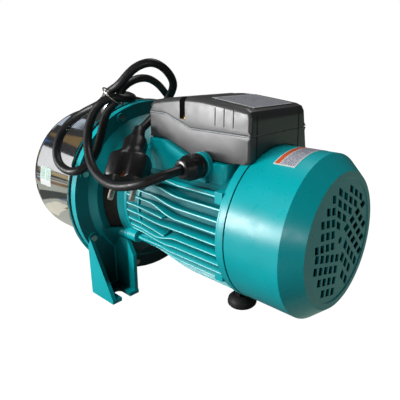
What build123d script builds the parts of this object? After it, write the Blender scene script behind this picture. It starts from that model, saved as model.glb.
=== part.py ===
from build123d import *
import math
import os

os.makedirs("parts", exist_ok=True)

# Shallow well jet pump. Millimetres. The shaft lies along X at shaft_z above the floor.
# Stations along the shaft are measured from the joint between pump and motor bracket,
# the fan end positive. save() moves them so the middle of the pump's length is x = 0.
shaft_z = 100.0
middle_x = 48.6
body_front = -126.0
body_r = 81.1
sheet = 1.5
rim_r = 98.7
flange_r = 96.9
flange_back = 7.0
bolt_circle_r = 90.0
bolt_angles = [25.0 + 45.0 * i for i in range(8)]
port_bore_r = 15.15
plug_bore_r = 7.5
neck_end = 36.0
neck_r = 62.0
frame_end = 172.0
shield_end = 178.0
shield_r = 70.6
cover_r = 70.0
cover_front = 179.0
cover_bend = 230.0
cover_end = 244.2
cover_end_r = 57.6
cover_sheet = 1.2
tie_angles = [31.5, 148.5, 211.5, 328.5]
tie_r = 64.5
box_half = 39.0
box_front = 56.0
box_back = 180.5
box_wall = 2.5
gland_x = 132.0
gland_z = 153.5
cord_d = 8.0


def save(shape, name):
    export_step(Pos(-middle_x, 0, 0) * shape, "parts/" + name + ".step")
    print(name, "%.0f mm3" % shape.volume)


# A solid turned about the shaft from a closed outline of (station, radius) points
def turned(points):
    outline = Polyline(*[(x, 0, r) for x, r in points], close=True)
    return Pos(0, 0, shaft_z) * revolve(make_face(outline), Axis.X, 360)


def tube(x0, x1, outer, inner):
    return turned([(x0, inner), (x0, outer), (x1, outer), (x1, inner)])


def disc(x0, x1, radius):
    return turned([(x0, 0), (x0, radius), (x1, radius), (x1, 0)])


# A round bar along X with its axis at (y, z)
def bar(x0, x1, y, z, radius):
    return Pos((x0 + x1) / 2, y, z) * Rot(0, 90, 0) * Cylinder(radius, x1 - x0)


# The (y, z) of a point at an angle round the shaft, counted from +Y towards +Z
def polar(angle, radius):
    a = math.radians(angle)
    return radius * math.cos(a), shaft_z + radius * math.sin(a)


def block(x0, x1, y0, y1, z0, z1):
    centre = Pos((x0 + x1) / 2, (y0 + y1) / 2, (z0 + z1) / 2)
    return centre * Box(x1 - x0, y1 - y0, z1 - z0)


# A plate of constant thickness from an outline of (station, height) points
def plate(points, y0, y1):
    outline = make_face(Polyline(*[(x, y0, z) for x, z in points], close=True))
    return extrude(outline, amount=y1 - y0, dir=(0, 1, 0))


def hexagon(x0, x1, y, z, across):
    flat = RegularPolygon(across / 2, 6, major_radius=False)
    return Pos(x0, y, z) * Rot(0, 90, 0) * extrude(flat, amount=x1 - x0)


def bored(shape, cutters):
    for cutter in cutters:
        shape = shape - cutter
    return shape


def joined(pieces):
    whole = pieces[0]
    for piece in pieces[1:]:
        whole = whole + piece
    return whole


# Edges of a solid that are circles of one radius about the shaft at one station
def ring_edges(shape, x, radius):
    found = []
    for edge in shape.edges().filter_by(GeomType.CIRCLE):
        if abs(edge.radius - radius) < 0.01 and abs(edge.center().X - x) < 0.01:
            found.append(edge)
    return found


# --- Pump head -------------------------------------------------------------------
port_x = -55.0
port_r = 19.0
port_top = 197.0
port_foot = 176.0
suction_r = 21.0
suction_face = -147.0
prime_z = shaft_z + 45.0
drain_z = shaft_z - 45.0
boss_r = 11.0
boss_face = -134.0

# Pressed stainless bowl with an out-turned rim
outside = disc(body_front, -5.0, body_r)
outside = fillet(ring_edges(outside, body_front, body_r), 19.0)
inside = disc(body_front + sheet, -2.0, body_r - sheet)
inside = fillet(ring_edges(inside, body_front + sheet, body_r - sheet), 17.5)
bowl = outside - inside
bowl = bowl + tube(-5.0, -3.5, rim_r, body_r - sheet)
holes = [bar(body_front - 5, body_front + 5, 0, shaft_z, suction_r)]
holes += [bar(body_front - 5, body_front + 5, 0, z, boss_r) for z in (prime_z, drain_z)]
holes += [Pos(port_x, 0, shaft_z + body_r) * Cylinder(port_r, 20)]
holes += [bar(-8, 0, *polar(a, bolt_circle_r), 3.2) for a in bolt_angles]
save(bored(bowl, holes), "pump_body")

# Threaded ports and plug bosses welded into the bowl
suction = bar(suction_face, -122.0, 0, shaft_z, suction_r)
save(suction - bar(-150, -120, 0, shaft_z, port_bore_r), "suction_port")
port_height = port_top - port_foot
discharge = Cylinder(port_r, port_height) - Cylinder(port_bore_r, port_height + 10)
save(Pos(port_x, 0, port_foot + port_height / 2) * discharge, "discharge_port")
for name, z in (("priming_boss", prime_z), ("drain_boss", drain_z)):
    boss = bar(boss_face, -122.0, 0, z, boss_r)
    save(boss - bar(-140, -120, 0, z, plug_bore_r), name)

# Each plug: threaded shank, washer face and hexagon head, with its sealing ring
for name, z in (("priming_plug", prime_z), ("drain_plug", drain_z)):
    shank = bar(-137.0, -124.0, 0, z, plug_bore_r - 0.05)
    collar = bar(-137.5, -136.0, 0, z, 10.5)
    head = hexagon(-144.0, -137.5, 0, z, 17.0)
    save(joined([shank, collar, head]), name)
    ring = bar(-136.0, boss_face - 0.3, 0, z, 10.0)
    save(ring - bar(-140, -130, 0, z, plug_bore_r - 0.05), name.replace("plug", "seal_ring"))

# Ejector: suction chamber, nozzle fed from the bowl, venturi tube into the impeller eye
chamber = tube(-122.0, -98.0, 24.0, 21.0) + tube(-98.0, -95.0, 24.0, 11.0)
feed = Pos(-112.0, 0, 0) * Cylinder(5.0, 26.0, align=(Align.CENTER, Align.CENTER, Align.MIN))
feed = Pos(0, 0, shaft_z) * feed
save(chamber - feed, "ejector_body")
jet = turned([(-118, 0), (-118, 7), (-108, 7), (-100, 4), (-100, 0)]) + feed
bore = bar(-114, -98, 0, shaft_z, 2.6) + Pos(-112.0, 0, shaft_z + 14) * Cylinder(3.4, 28)
save(jet - bore, "nozzle")
venturi = [(-95, 7), (-95, 15), (-91, 15), (-88, 11), (-60, 14), (-50, 18), (-47.3, 18)]
venturi += [(-47.3, 14), (-80, 6.5), (-90, 6.5)]
save(turned(venturi), "venturi_tube")

# Diffuser bowl round the impeller, with outlet slots through its wall
diffuser = tube(-47.3, -44.3, 74.0, 18.0) + tube(-44.3, -3.2, 74.0, 66.0)
slots = [
    Pos(-14, 0, shaft_z) * Rot(i * 45.0, 0, 0) * Pos(0, 70, 0) * Box(14, 16, 26)
    for i in range(8)
]
save(bored(diffuser, slots), "diffuser")

# Closed impeller with six backswept vanes, held by a nut on the shaft end
vane_points = []
for i in range(9):
    t = i / 8
    vane_points.append((16 + 42 * t, 78.0 * t))
vane_path = [(r * math.cos(math.radians(a)), r * math.sin(math.radians(a))) for r, a in vane_points]
vane_face = trace(Polyline(*vane_path), line_width=2.4)
vane = Rot(0, 90, 0) * extrude(vane_face, amount=10.0)
impeller = [tube(-24.0, -21.0, 59.0, 6.0), tube(-36.5, -34.0, 59.0, 17.0)]
impeller += [tube(-41.0, -19.5, 10.0, 6.0)]
for i in range(6):
    impeller.append(Pos(-34.0, 0, shaft_z) * Rot(60.0 * i, 0, 0) * vane)
save(joined(impeller), "impeller")
save(hexagon(-48.0, -41.0, 0, shaft_z, 17.0) - bar(-50, -40, 0, shaft_z, 6.0), "impeller_nut")

# Seal plate clamped by the bracket, and the two halves of the shaft seal
seal_plate = tube(-3.0, -0.5, 80.5, 12.0) + tube(-8.0, -3.0, 16.0, 12.0)
save(seal_plate, "seal_plate")
save(tube(-7.0, -0.5, 12.0, 8.2), "seal_seat")
save(tube(-13.0, -7.3, 11.0, 7.5), "seal_head")
coils = [Pos(x, 0, shaft_z) * Rot(0, 90, 0) * Torus(8.6, 0.9) for x in (-18.2, -16.2, -14.2)]
save(Compound(coils), "seal_spring")

gasket = tube(-3.5, -0.5, 96.0, 80.5)
gasket = bored(gasket, [bar(-6, 2, *polar(a, bolt_circle_r), 3.2) for a in bolt_angles])
save(gasket, "body_gasket")

bolts = []
for a in bolt_angles:
    y, z = polar(a, bolt_circle_r)
    shank = bar(-5.0, 10.5, y, z, 3.0)
    washer = bar(-6.6, -5.0, y, z, 6.0)
    bolts.append(hexagon(-10.6, -6.6, y, z, 10.0) + washer + shank)
save(Compound(bolts), "flange_bolts")

# --- Motor bracket ---------------------------------------------------------------
leg_y = 86.5
leg_in = 55.0
leg_front = 5.0
slot_y = 71.0
leg_back = 43.0

wall = tube(-0.5, 5.0, 84.0, 26.0)
rim = tube(-0.5, flange_back, flange_r, 80.0)
neck = turned([(3, 76), (3, 83), (7, 83), (16, 75), (neck_end, neck_r), (neck_end, 55), (16, 69), (5, 76)])
end_wall = tube(neck_end - 5, neck_end, neck_r - 3, 22.0)
hub = tube(22.0, neck_end, 23.0, 17.5)
bracket = [wall, rim, neck, end_wall, hub]
for a in bolt_angles:
    bracket.append(bar(flange_back, 9.0, *polar(a, bolt_circle_r), 5.2))
for a in tie_angles:
    bracket.append(bar(18.0, neck_end, *polar(a, tie_r), 6.5))
for side in (-1, 1):
    profile = [(leg_front, 0), (leg_back, 0), (leg_back, 4), (10, 62), (leg_front, 62)]
    outer_wall = plate(profile, leg_y - 4, leg_y)
    profile = [(leg_front, 0), (leg_back - 1, 0), (leg_back, 44), (34, 60), (leg_front, 60)]
    inner_wall = plate(profile, leg_in, leg_in + 4)
    front = block(leg_front, leg_front + 4, leg_in, leg_y, 0, 62)
    base = block(leg_front, leg_back, leg_in, leg_y, 0, 4)
    slot = block(leg_back - 14, leg_back + 2, slot_y - 5, slot_y + 5, -1, 5)
    slot = slot + Pos(leg_back - 14, slot_y, 2) * Cylinder(5.0, 6)
    leg = joined([outer_wall, inner_wall, front, base]) - slot
    bracket.append(leg if side > 0 else mirror(leg, Plane.XZ))
bracket = joined(bracket)
cuts = []
for side in (-1, 1):
    cuts.append(Pos(22.2, side * 66, shaft_z - 2) * Box(17, 40, 56))
cuts.append(Pos(22.2, 0, shaft_z - 66) * Box(17, 56, 40))
cuts += [bar(-2, 12, *polar(a, bolt_circle_r), 3.0) for a in bolt_angles]
cuts += [bar(16, 40, *polar(a, tie_r), 2.5) for a in tie_angles]
bracket = bored(bracket, cuts)
save(bracket, "motor_bracket")

# --- Rotating parts --------------------------------------------------------------
shaft = [(-52, 0), (-52, 6), (-19.5, 6), (-19.5, 7.5), (35.5, 7.5), (35.5, 9)]
shaft += [(166.5, 9), (166.5, 7.5), (181, 7.5), (181, 6), (224, 6), (224, 0)]
save(turned(shaft), "shaft")
save(tube(12.0, 15.0, 20.0, 7.5), "slinger")
for name, x0 in (("front_bearing", 24.0), ("rear_bearing", 167.0)):
    x1 = x0 + 11
    mid = (x0 + x1) / 2
    groove = Pos(mid, 0, shaft_z) * Rot(0, 90, 0) * Torus(12.5, 3.35)
    save(tube(x0, x1, 17.5, 14.4) - groove, name + "_outer")
    inner = tube(x0, x1, 9.3, 7.5)
    balls = [Pos(mid, *polar(i * 45.0, 12.5)) * Sphere(3.0) for i in range(8)]
    save(Compound([inner] + balls), name + "_inner")
save(tube(70.0, 140.0, 30.1, 9.0) + tube(66, 70, 29, 22) + tube(140, 144, 29, 22), "rotor_core")

# Cooling fan: hub, back plate and eight flat radial blades, kept on by a spring clip
blades = [
    Pos(203, 0, shaft_z) * Rot(45.0 * i, 0, 0) * Pos(0, 0, 38) * Box(22, 2, 42)
    for i in range(8)
]
fan = joined([tube(192, 216, 13.0, 6.0), tube(192, 194, 46.0, 6.0)] + blades)
save(fan, "fan")
save(tube(216.0, 217.5, 9.5, 6.0) - block(210, 220, -3, 3, 104, 112), "fan_clip")

# --- Motor -----------------------------------------------------------------------
lip = [(box_front + 2, 168.2), (79, 168.2), (115, 156.2), (158, 156.2)]
shell = turned([(neck_end, 55), (neck_end, 62), (50, 58.5), (frame_end, 58.5), (frame_end, 55)])
front_ring = tube(neck_end, 41, neck_r, 55)
rear_ring = tube(frame_end - 5, frame_end, 70.0, 55)
fin_line = [(41, 57), (41, 62.5), (62, 63), (84, 66), (104, 69.2), (120, 69.8), (168, 69.8), (168, 57)]
fin = Pos(0, 0, shaft_z) * plate(fin_line, -1.1, 1.1)
about_shaft = Axis((0, 0, shaft_z), (1, 0, 0))
frame = [shell, front_ring, rear_ring]
for i in range(-15, 16):
    frame.append(fin.rotate(about_shaft, 180.0 + 8.0 * i))
pedestal = plate(lip + [(158, 120), (box_front + 2, 120)], -44, 44)
pedestal = fillet(pedestal.edges().filter_by(Axis.Z), 5.0)
frame.append(pedestal)
boss = Pos(gland_x, -47, gland_z) * Rot(90, 0, 0) * Cylinder(11.8, 6.0)
boss_root = block(gland_x - 8, gland_x + 8, -50, -41, 139, 153)
frame.append(block(133, 149, -9, 9, 30, 42))
for a in tie_angles:
    frame.append(bar(neck_end, 50, *polar(a, tie_r), 6.5))
    frame.append(bar(158, frame_end, *polar(a, 64.0), 5.0))
frame = joined(frame)
frame = frame - disc(30, 180, 55.0)
crown_cut = plate(lip + [(158, 175), (box_front + 2, 175)], -44, 44)
wire_hole = block(118, 146, -34, -8, 140, 175)
frame = frame - crown_cut - wire_hole
frame = frame + boss + boss_root
frame = frame - Pos(gland_x, -44, gland_z) * Rot(90, 0, 0) * Cylinder(7.0, 24)
frame = bored(frame, [bar(34, 175, *polar(a, tie_r), 2.5) for a in tie_angles])
frame = frame - Pos(141, 0, 36) * Cylinder(2.5, 14)
save(frame, "motor_frame")

save(tube(70.0, 140.0, 55.0, 30.6), "stator_core")
windings = [tube(46, 70, 52.0, 34.0), tube(140, 163, 52.0, 34.0)]
windings = [fillet(w.edges().filter_by(GeomType.CIRCLE), 4.0) for w in windings]
save(Compound(windings), "stator_windings")

shield = [tube(frame_end, shield_end, shield_r, 17.5), tube(166, shield_end, 23.0, 17.5)]
shield.append(tube(shield_end, shield_end + 1.5, 23.0, 9.5))
shield = bored(joined(shield), [bar(165, 180, *polar(a, tie_r), 2.5) for a in tie_angles])
save(shield, "rear_shield")

rods = []
for a in tie_angles:
    y, z = polar(a, tie_r)
    rods.append(bar(19, shield_end, y, z, 2.5) + bar(shield_end, shield_end + 2.5, y, z, 3.9))
save(Compound(rods), "tie_bolts")

# Pressed fan cover: cylinder, cone and a pierced end face
face_in = cover_end - 0.8       # the pierced face lies inside a raised rim
skin = [(cover_front, cover_r), (cover_bend, cover_r), (cover_end, cover_end_r), (cover_end, 52.6)]
skin += [(face_in, 51.4), (face_in, 0), (face_in - cover_sheet, 0), (face_in - cover_sheet, 51.9)]
skin += [(cover_end - cover_sheet, 53.1), (cover_end - cover_sheet, cover_end_r - 0.6)]
skin += [(cover_bend - 0.5, cover_r - cover_sheet), (cover_front, cover_r - cover_sheet)]
cover = turned(skin)


# A slanted vent: a parallelogram about (y, z) with sides along the two steps of its grid
def vent(y, z, step, climb):
    corners = []
    for i, j in ((-1, -1), (1, -1), (1, 1), (-1, 1)):
        side = 0.33 * (i * step[0] + j * climb[0])
        height = 0.33 * (i * step[1] + j * climb[1])
        corners.append((cover_end - 4, y + side, shaft_z + z + height))
    return extrude(make_face(Polyline(*corners, close=True)), amount=6, dir=(1, 0, 0))


# Each field of vents: its first vent, the step along a row, the step to the next row, and
# the first and last place filled in each row
vent_fields = [
    ((-12.7, -0.9), (-8.5, 1.7), (-0.6, 9.9), [(0, 3), (0, 2), (0, 2), (0, 1), (0, 0)]),
    ((-4.8, 51.3), (9.8, -5.6), (0.0, -9.3), [(2, 4), (0, 3), (0, 2), (0, 1), (0, 0)]),
    ((10.7, 7.4), (7.4, -7.7), (9.7, 4.4), [(0, 4), (0, 3), (0, 2), (0, 0)]),
    ((10.8, -7.8), (7.1, -7.5), (-4.6, -9.6), [(0, 3), (0, 2), (1, 2)]),
    ((-3.6, -14.3), (-8.4, 2.7), (-1.4, -9.6), [(0, 4), (0, 4), (0, 3), (0, 2)]),
]
grid = []
for first, step, climb, rows in vent_fields:
    for row, (start, stop) in enumerate(rows):
        for place in range(start, stop + 1):
            y = first[0] + place * step[0] + row * climb[0]
            z = first[1] + place * step[1] + row * climb[1]
            grid.append(vent(y, z, step, climb))
cover = cover - Compound(grid)
cover = cover - bar(cover_end - 5, cover_end + 5, 0, shaft_z, 3.0)
save(cover, "fan_cover")

# --- Terminal box ----------------------------------------------------------------
seam = [(box_front, 193.0), (79, 193.0), (112, 182.5), (box_back, 182.5)]
gasket_t = 0.8
foot_line = [(x, z + gasket_t) for x, z in lip]
floor = [(box_front, 169.0), (79.2, 169.0), (115.2, 157.0), (box_back, 157.0)]
w = box_wall


# The part of a shape left after the round back of the motor, plus a clearance, is cut out
def saddled(shape, radius):
    return shape - disc(155.0, 200.0, radius)


pad = plate(lip + foot_line[::-1], -38, 38) - plate([(64, 190), (64, 140), (152, 140), (152, 190)], -32, 32)
save(pad, "box_gasket")

base = plate(floor + seam[::-1], -box_half, box_half)
base = fillet(base.edges().filter_by(Axis.Z).sort_by(Axis.X)[-2:], 9.0)
hollow = [(box_front + w, 171.5), (80, 171.5), (116, 159.5), (box_back - w, 159.5)]
hollow += [(box_back - w, 184), (112, 184), (79, 195), (box_front + w, 195)]
hollow = saddled(plate(hollow, -box_half + w, box_half - w), 73.5)
base = saddled(base, 71.2) - hollow
posts = [Pos(102, s * 33.5, (163.0 + 183.8) / 2) * Cylinder(4.5, 183.8 - 163.0) for s in (-1, 1)]
base = joined([base] + posts)
base = bored(base, [Pos(102, s * 33.5, 180) * Cylinder(1.6, 22) for s in (-1, 1)])
save(base, "terminal_box_base")

crown = [(box_back, 197), (176, 203.5), (128, 209.0), (95, 208.5), (61, 204.0), (box_front, 200)]
cover = plate(seam + crown, -box_half, box_half)
cover = fillet(cover.edges().filter_by(Axis.Z).sort_by(Axis.X)[-2:], 9.0)
long_edges = [
    e for e in cover.edges()
    if abs(abs(e.center().Y) - box_half) < 0.01 and e.center().Z > 200.5 and 60 < e.center().X < 170
]
cover = fillet(long_edges, 3.0)
crown_in = [(box_back - w, 195.5), (174, 200.5), (128, 206.0), (95, 205.5)]
crown_in += [(63, 201.5), (box_front + w, 198)]
seam_in = [(box_front + w, 190), (79, 190), (112, 180), (box_back - w, 180)]
inner = plate(seam_in + crown_in, -box_half + w, box_half - w)
cover = cover - inner
pillars = [block(96, 108, s * 33.8 - 5, s * 33.8 + 5, 182, 205) for s in (-1, 1)]
under_seam = plate([(50, 170), (50, 193), (79, 193), (112, 182.5), (130, 182.5), (130, 170)], -50, 50)
pillars = [p - under_seam for p in pillars]
cover = joined([cover] + pillars)
slots = [block(98.5, 105.5, s * 35 - 5, s * 35 + 5, 189.5, 215) for s in (-1, 1)]
for x in (142, 152, 162):
    slots += [block(x - 0.5, x + 0.5, s * 39.2 - 1, s * 39.2 + 1, 187.5, 202) for s in (-1, 1)]
slots += [Pos(102, s * 33.5, 186) * Cylinder(1.8, 12) for s in (-1, 1)]
save(bored(cover, slots), "terminal_box_cover")

screws = []
for s in (-1, 1):
    shank = Pos(102, s * 33.5, 179.5) * Cylinder(1.6, 20)
    head = Pos(102, s * 33.5, 190.6) * Cylinder(3.2, 2.2)
    screws.append(head + shank - Pos(102, s * 33.5, 191.6) * Box(0.8, 8, 1.0))
save(Compound(screws), "box_screws")

save(bar(104, 148, 12, 179, 14.0) + bar(148, 151, 12, 179, 4.0), "capacitor")
strip = [block(118, 150, -26, -10, 160, 168)]
strip += [block(x - 3.6, x + 3.6, -24, -12, 168, 173) for x in (123, 134, 145)]
save(joined(strip), "terminal_block")

# Cable gland: body screwed into the boss, tapered cap nut round the cord
def along_y(y0, y1, radius):
    return Pos(gland_x, (y0 + y1) / 2, gland_z) * Rot(90, 0, 0) * Cylinder(radius, y1 - y0)


body = along_y(-50, -39.4, 7.0) + along_y(-54, -50, 11.2)
save(body - along_y(-60, -30, 4.4), "gland_body")
nut = along_y(-62, -54, 11.2)
tip = Pos(gland_x, -66, gland_z) * Rot(90, 0, 0) * Cone(11.2, 8.4, 8.0)
save(nut + tip - along_y(-75, -50, 4.4), "gland_nut")

# --- Rear foot -------------------------------------------------------------------
foot_x = 141.0
pad = Pos(foot_x, 0, 0) * Cylinder(15.0, 12.0, align=(Align.CENTER, Align.CENTER, Align.MIN))
pad = chamfer(pad.edges().filter_by(GeomType.CIRCLE), 1.5)
pad = pad - Pos(foot_x, 0, 12) * Cylinder(11.0, 5) - Pos(foot_x, 0, 1.5) * Cylinder(4.6, 9)
pad = pad - Pos(foot_x, 0, 8) * Cylinder(2.5, 20)
save(pad, "foot_pad")
post = block(foot_x - 3, foot_x + 3, -8, 8, 9.5, 30) + Pos(foot_x, 0, 19.75) * Cylinder(5.0, 20.5)
save(post - Pos(foot_x, 0, 20) * Cylinder(2.5, 30), "foot_post")
screw = Pos(foot_x, 0, 4.2) * Cylinder(4.2, 3.6) + Pos(foot_x, 0, 22) * Cylinder(2.5, 36)
save(screw, "foot_screw")

# --- Labels ----------------------------------------------------------------------
label = plate([(128.5, 209.25), (175.0, 203.9), (175.0, 204.1), (128.5, 209.45)], -28, 28)
save(label, "rating_label")
arc = tube(197.0, 217.0, cover_r + 0.2, cover_r)
wedge = [(0, 0), (120 * math.cos(math.radians(117)), 120 * math.sin(math.radians(117)))]
wedge += [(120 * math.cos(math.radians(68)), 120 * math.sin(math.radians(68)))]
wedge = make_face(Polyline(*[(190, y, shaft_z + z) for y, z in wedge], close=True))
save(arc & extrude(wedge, amount=40, dir=(1, 0, 0)), "cover_label")
arc = tube(-98.0, -74.0, body_r + 0.2, body_r)
wedge = [(0, 0), (120 * math.cos(math.radians(180)), 120 * math.sin(math.radians(180)))]
wedge += [(120 * math.cos(math.radians(165)), 120 * math.sin(math.radians(165)))]
wedge = make_face(Polyline(*[(-100, y, shaft_z + z) for y, z in wedge], close=True))
save(arc & extrude(wedge, amount=40, dir=(1, 0, 0)), "body_label")

# --- Cord, plug and tie ----------------------------------------------------------
# The cord leaves the gland, drops in front of the bracket and is gathered with a wire
# tie: over the bowl and back, round the loop at the side, and over to the plug.
route = [
    (132, -66, 153.5), (132, -80, 153), (125, -91, 149), (117, -99, 145), (95, -104, 139),
    (72, -103, 139), (49, -99, 145), (31, -92, 155), (21, -86, 167), (16, -80, 180),
    (17, -74, 193), (24, -69, 202), (31, -61, 206),
    (36, -49, 204), (29, -37, 203.5), (14, -31, 204.5), (-2, -25, 204.5), (-14, -14, 200.5),
    (-22, 0, 196.5), (-29, 17, 193), (-37, 37, 188), (-43, 55, 179), (-43, 71, 165),
    (-36, 81, 152), (-25, 84, 148), (-14, 80, 153), (-11, 71, 167), (-11, 57, 184),
    (-7, 38, 198.5), (3, 18.5, 212.5), (12, -2, 221), (19, -20, 222.5), (24, -37.5, 219),
    (24, -47.5, 212), (23, -50, 203),
    (12, -57, 191), (12.5, -63, 178), (16.5, -70, 164.5), (21, -78, 152.5),
    (22, -88, 143), (18, -97, 137.5), (5, -100, 136), (-12, -100, 141), (-22, -96, 152.5),
    (-26, -88, 166.5), (-23, -78, 179), (-10, -68, 189.5), (4.5, -64, 195.5),
    (14.5, -61, 200.5), (20, -59, 210),
    (35, -57, 216.5), (44, -50, 229.5), (50.5, -43, 236), (57, -34, 238.5), (60.5, -24, 234),
    (61, -14, 224), (55.5, -7, 214.5), (42.5, -3, 202.5), (37, -12, 190), (41, -29, 180),
    (54, -51, 174.3),
]
points = [Vector(*p) for p in route]
radii = []
for before, corner, after in zip(points, points[1:], points[2:]):
    run_in = corner - before
    run_out = after - corner
    turn = math.radians(run_in.get_angle(run_out))
    radii.append(0.45 * min(run_in.length, run_out.length) / math.tan(turn / 2))
print("cord radii", [round(r) for r in radii])
path = FilletPolyline(*points, radius=radii, close=False)
section = Plane(origin=points[0], z_dir=points[1] - points[0]) * Circle(cord_d / 2)
cord = sweep(section, path=path)
print("cord length %.0f, volume over section %.0f" % (path.length, cord.volume / (math.pi * cord_d**2 / 4)))
save(cord, "power_cord")

plug_top = Vector(54, -51, 174.3)
plug_face = Vector(76, -85, 135.3)
plug_dir = (plug_face - plug_top).normalized()
plug_len = (plug_face - plug_top).length
plug_plane = Plane(origin=plug_top, x_dir=Vector(0.778, 0.629, 0), z_dir=plug_dir)
pin_gap = 9.5
head_len = 26.0


def low(z0, z1, radius):
    centre = Pos(0, 0, z0)
    return centre * Cylinder(radius, z1 - z0, align=(Align.CENTER, Align.CENTER, Align.MIN))


grip = Pos(0, 0, -3) * Cone(5.6, 7.0, 12.0, align=(Align.CENTER, Align.CENTER, Align.MIN))
grip = grip + low(9, plug_len - head_len + 2, 9.6)
head = Pos(0, 0, plug_len - head_len / 2) * Box(37.0, 30.0, head_len)
head = fillet(head.edges().filter_by(Axis.Z), 9.0)
plug = grip + head
recess = [Pos(0, s * 15.2, plug_len - 9) * Box(8.0, 3.0, 19.0) for s in (-1, 1)]
holes = [low(plug_len - 14, plug_len + 1, 2.4).moved(Pos(s * pin_gap, 0, 0)) for s in (-1, 1)]
plug = bored(plug, recess + holes + [low(plug_len - 16, plug_len + 1, 2.6).moved(Pos(0, 7.0, 0))])
save(plug_plane * plug, "plug_body")
pins = [low(plug_len - 14, plug_len + 17, 2.4).moved(Pos(s * pin_gap, 0, 0)) for s in (-1, 1)]
save(plug_plane * Compound(pins), "plug_pins")
clips = [Pos(0, s * 14.1, plug_len - 9) * Box(5.0, 0.8, 17.0) for s in (-1, 1)]
save(plug_plane * Compound(clips), "plug_earth_contacts")

tie_at = Vector(24.5, -57, 206)
tie_plane = Plane(origin=tie_at, z_dir=Vector(0.5, 0.45, 0.74))
save(tie_plane * Torus(11.6, 0.7), "wire_tie")
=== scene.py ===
import math
import bpy
import numpy as np
from mathutils import Matrix, Vector


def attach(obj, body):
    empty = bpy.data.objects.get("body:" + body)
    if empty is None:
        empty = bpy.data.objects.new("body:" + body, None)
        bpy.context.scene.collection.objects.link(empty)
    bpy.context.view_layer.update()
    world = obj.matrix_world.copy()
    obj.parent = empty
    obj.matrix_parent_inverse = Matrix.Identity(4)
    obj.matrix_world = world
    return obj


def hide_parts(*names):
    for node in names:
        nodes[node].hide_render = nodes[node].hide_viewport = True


# Looks of the shallow well jet pump. Metres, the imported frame: the shaft runs along +X
# towards the fan cover at shaftZ, and the cable gland is on the -Y side.
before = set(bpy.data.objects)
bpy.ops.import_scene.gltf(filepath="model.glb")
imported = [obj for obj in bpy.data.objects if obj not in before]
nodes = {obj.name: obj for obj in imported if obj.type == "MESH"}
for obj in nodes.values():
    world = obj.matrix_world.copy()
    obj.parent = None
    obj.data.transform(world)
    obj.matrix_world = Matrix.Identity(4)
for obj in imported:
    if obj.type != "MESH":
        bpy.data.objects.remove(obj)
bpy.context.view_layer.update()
mm = 0.001
middleX = 48.6          # the station, in mm from the pump joint, that is x = 0
shaftZ = 100.0


# A point given as (station, y, z) in mm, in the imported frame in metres
def at(station, y, z):
    return Vector(((station - middleX) * mm, y * mm, z * mm))


# --- Camera ----------------------------------------------------------------------
camera = {
    "place": (0.3298, -0.2899, 0.2391),
    "yaw": 128.95,      # degrees from +X towards +Y
    "pitch": -15.15,
    "roll": 0.63,
    "lens": 37.15,
    "shift": (-0.1147, -0.0652),
}


# The camera's matrix: its -Z axis points along yaw and pitch, then it rolls about that axis
def aimed(place, yaw, pitch, roll):
    yaw, pitch, roll = (math.radians(v) for v in (yaw, pitch, roll))
    forward = Vector((math.cos(yaw) * math.cos(pitch), math.sin(yaw) * math.cos(pitch), math.sin(pitch)))
    right = forward.cross(Vector((0, 0, 1))).normalized()
    up = right.cross(forward)
    rolledRight = math.cos(roll) * right + math.sin(roll) * up
    rolledUp = math.cos(roll) * up - math.sin(roll) * right
    turn = Matrix((rolledRight, rolledUp, -forward)).transposed()
    return Matrix.Translation(place) @ turn.to_4x4()


cameraData = bpy.data.cameras.new("camera")
cameraData.lens = camera["lens"]
cameraData.shift_x, cameraData.shift_y = camera["shift"]
cameraData.clip_start = 0.01
cameraObject = bpy.data.objects.new("camera", cameraData)
bpy.context.collection.objects.link(cameraObject)
cameraObject.matrix_world = aimed(camera["place"], camera["yaw"], camera["pitch"], camera["roll"])
bpy.context.scene.camera = cameraObject

# --- The mains cord --------------------------------------------------------------
# From the gland under the box, forward along the bracket, over the bowl and back, round
# the loop at the side, and down to the plug. Control points in mm, as (station, y, z).
cordLead = {
    "diameter": 8.0,
    "length": 981.0,
    "exit": (132, -70, 153.5),
    "route": [
        (132, -66, 153.5), (132, -80, 153), (125, -91, 149), (117, -99, 145), (95, -104, 139),
        (72, -103, 139), (49, -99, 145), (31, -92, 155), (21, -86, 167), (16, -80, 180),
        (17, -74, 193), (24, -69, 202), (31, -61, 206),
        (36, -49, 204), (29, -37, 203.5), (14, -31, 204.5), (-2, -25, 204.5), (-14, -14, 200.5),
        (-22, 0, 196.5), (-29, 17, 193), (-37, 37, 188), (-43, 55, 179), (-43, 71, 165),
        (-36, 81, 152), (-25, 84, 148), (-14, 80, 153), (-11, 71, 167), (-11, 57, 184),
        (-7, 38, 198.5), (3, 18.5, 212.5), (12, -2, 221), (19, -20, 222.5), (24, -37.5, 219),
        (24, -47.5, 212), (23, -50, 203),
        (12, -57, 191), (12.5, -63, 178), (16.5, -70, 164.5), (21, -78, 152.5),
        (22, -88, 143), (18, -97, 137.5), (5, -100, 136), (-12, -100, 141), (-22, -96, 152.5),
        (-26, -88, 166.5), (-23, -78, 179), (-10, -68, 189.5), (4.5, -64, 195.5),
        (14.5, -61, 200.5), (20, -59, 210),
        (35, -57, 216.5), (44, -50, 229.5), (50.5, -43, 236), (57, -34, 238.5), (60.5, -24, 234),
        (61, -14, 224), (55.5, -7, 214.5), (42.5, -3, 202.5), (37, -12, 190), (41, -29, 180),
        (54, -51, 174.3),
    ],
}


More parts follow.
